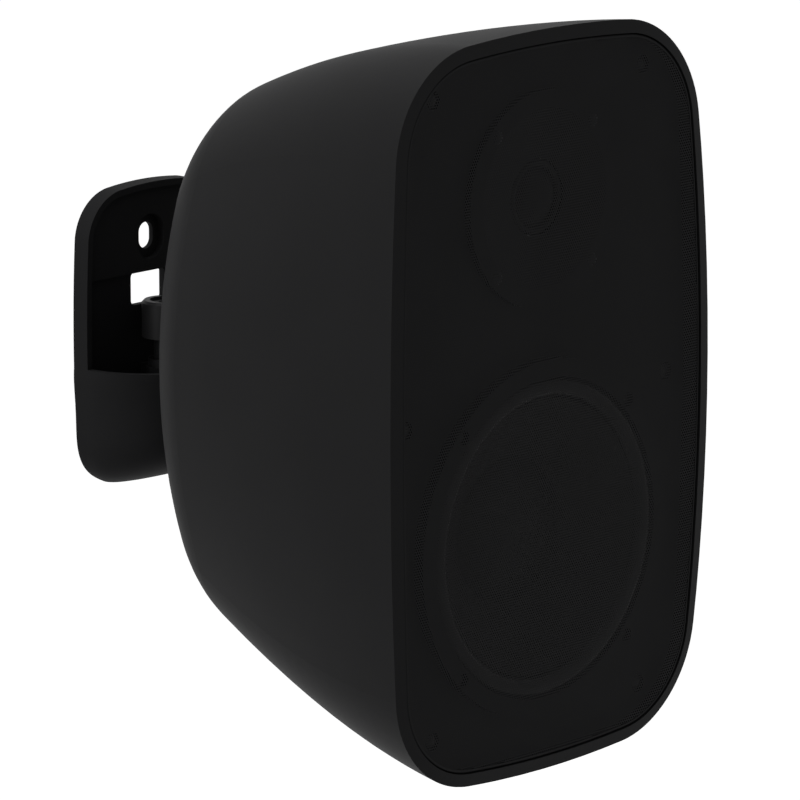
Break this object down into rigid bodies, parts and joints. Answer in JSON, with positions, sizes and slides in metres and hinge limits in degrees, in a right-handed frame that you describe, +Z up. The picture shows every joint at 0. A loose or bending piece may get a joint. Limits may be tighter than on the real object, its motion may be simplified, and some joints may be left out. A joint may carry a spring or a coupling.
{
  "type": "wall-mounted two-way loudspeaker",
  "caption": "Barrel-sided two-way loudspeaker with a domed metal grille on a wall bracket that pans and tilts.",
  "frame": {"origin": "centre of the wall plate's back face, which lies on the wall", "axes": "+Y into the wall, so the grille faces -Y; +Z up; +X to the right seen from the front"},
  "size_m": [0.2076, 0.2573, 0.3302],
  "materials": {
    "cabinet_plastic": "fine moulded grain, dark charcoal",
    "bracket_plastic": "fine moulded grain, black",
    "grille_metal": "perforated sheet, powder coated black",
    "baffle_plastic": "moulded, black",
    "arm_metal": "die cast, powder coated black",
    "steel": "zinc plated",
    "black_steel": "black oxide",
    "rubber": "soft moulded",
    "foam": "soft foam",
    "cone_paper": "pressed pulp, black",
    "brass": "turned",
    "ferrite": "sintered",
    "dome_silk": "coated silk",
    "wadding": "polyester fleece",
    "board": "glass fibre board",
    "copper": "enamelled copper wire",
    "component_plastic": "dipped",
    "ceramic": "cement",
    "knob_plastic": "moulded, black",
    "terminal_plastic": "moulded, black"
  },
  "bodies": {
    "wall_bracket": {"wall_plate": "bracket_plastic", "pan_insert": "brass", "pan_bush": "black_steel", "pan_washer": "black_steel", "pan_bolt": "black_steel"},
    "pan_arm": {"swivel_arm": "arm_metal", "tilt_washers": "black_steel"},
    "cone": {"woofer_cone": "cone_paper", "dust_cap": "cone_paper", "voice_coil": "copper"},
    "tap_selector": {"tap_knob": "knob_plastic"},
    "speaker": {"mount_clevis": "arm_metal", "mount_screws": "black_steel", "backing_plate": "steel", "tilt_bolt": "black_steel", "tilt_nut": "black_steel", "cabinet": "cabinet_plastic", "front_baffle": "baffle_plastic", "baffle_gasket": "foam", "baffle_screws": "black_steel", "grille": "grille_metal", "woofer_basket": "black_steel", "woofer_trim": "baffle_plastic", "woofer_surround": "rubber", "woofer_spider": "foam", "woofer_top_plate": "steel", "woofer_magnet": "ferrite", "woofer_yoke": "steel", "woofer_screws": "black_steel", "tweeter_plate": "baffle_plastic", "tweeter_dome": "dome_silk", "tweeter_motor": "steel", "tweeter_screws": "black_steel", "wadding": "wadding", "terminal_cup": "terminal_plastic", "cup_screws": "black_steel", "terminal_block": "terminal_plastic", "terminal_screws": "steel", "tap_switch": "terminal_plastic", "crossover_board": "board", "board_screws": "steel", "crossover_inductors": "copper", "crossover_capacitors": "component_plastic", "crossover_resistor": "ceramic", "transformer_core": "steel", "transformer_winding": "copper", "transformer_screws": "steel"}
  },
  "joints": [
    {"name": "pan", "type": "hinge", "parent": "wall_bracket", "child": "pan_arm", "pos_m": [0, -0.015, 0], "axis": [0, 0, 1], "range_deg": [-45, 45]},
    {"name": "tilt", "type": "hinge", "parent": "pan_arm", "child": "speaker", "pos_m": [0, -0.054, 0.0073], "axis": [1, 0, 0], "range_deg": [-15, 15]},
    {"name": "cone_travel", "type": "slide", "parent": "speaker", "child": "cone", "axis": [0, 1, 0], "range_m": [-0.003, 0.003], "stiffness_N_per_m": 1800, "deforming": ["woofer_surround", "woofer_spider"]},
    {"name": "tap_turn", "type": "hinge", "parent": "speaker", "child": "tap_selector", "pos_m": [0.0175, -0.09, 0.0584], "axis": [0, 1, 0], "range_deg": [-60, 60]}
  ]
}
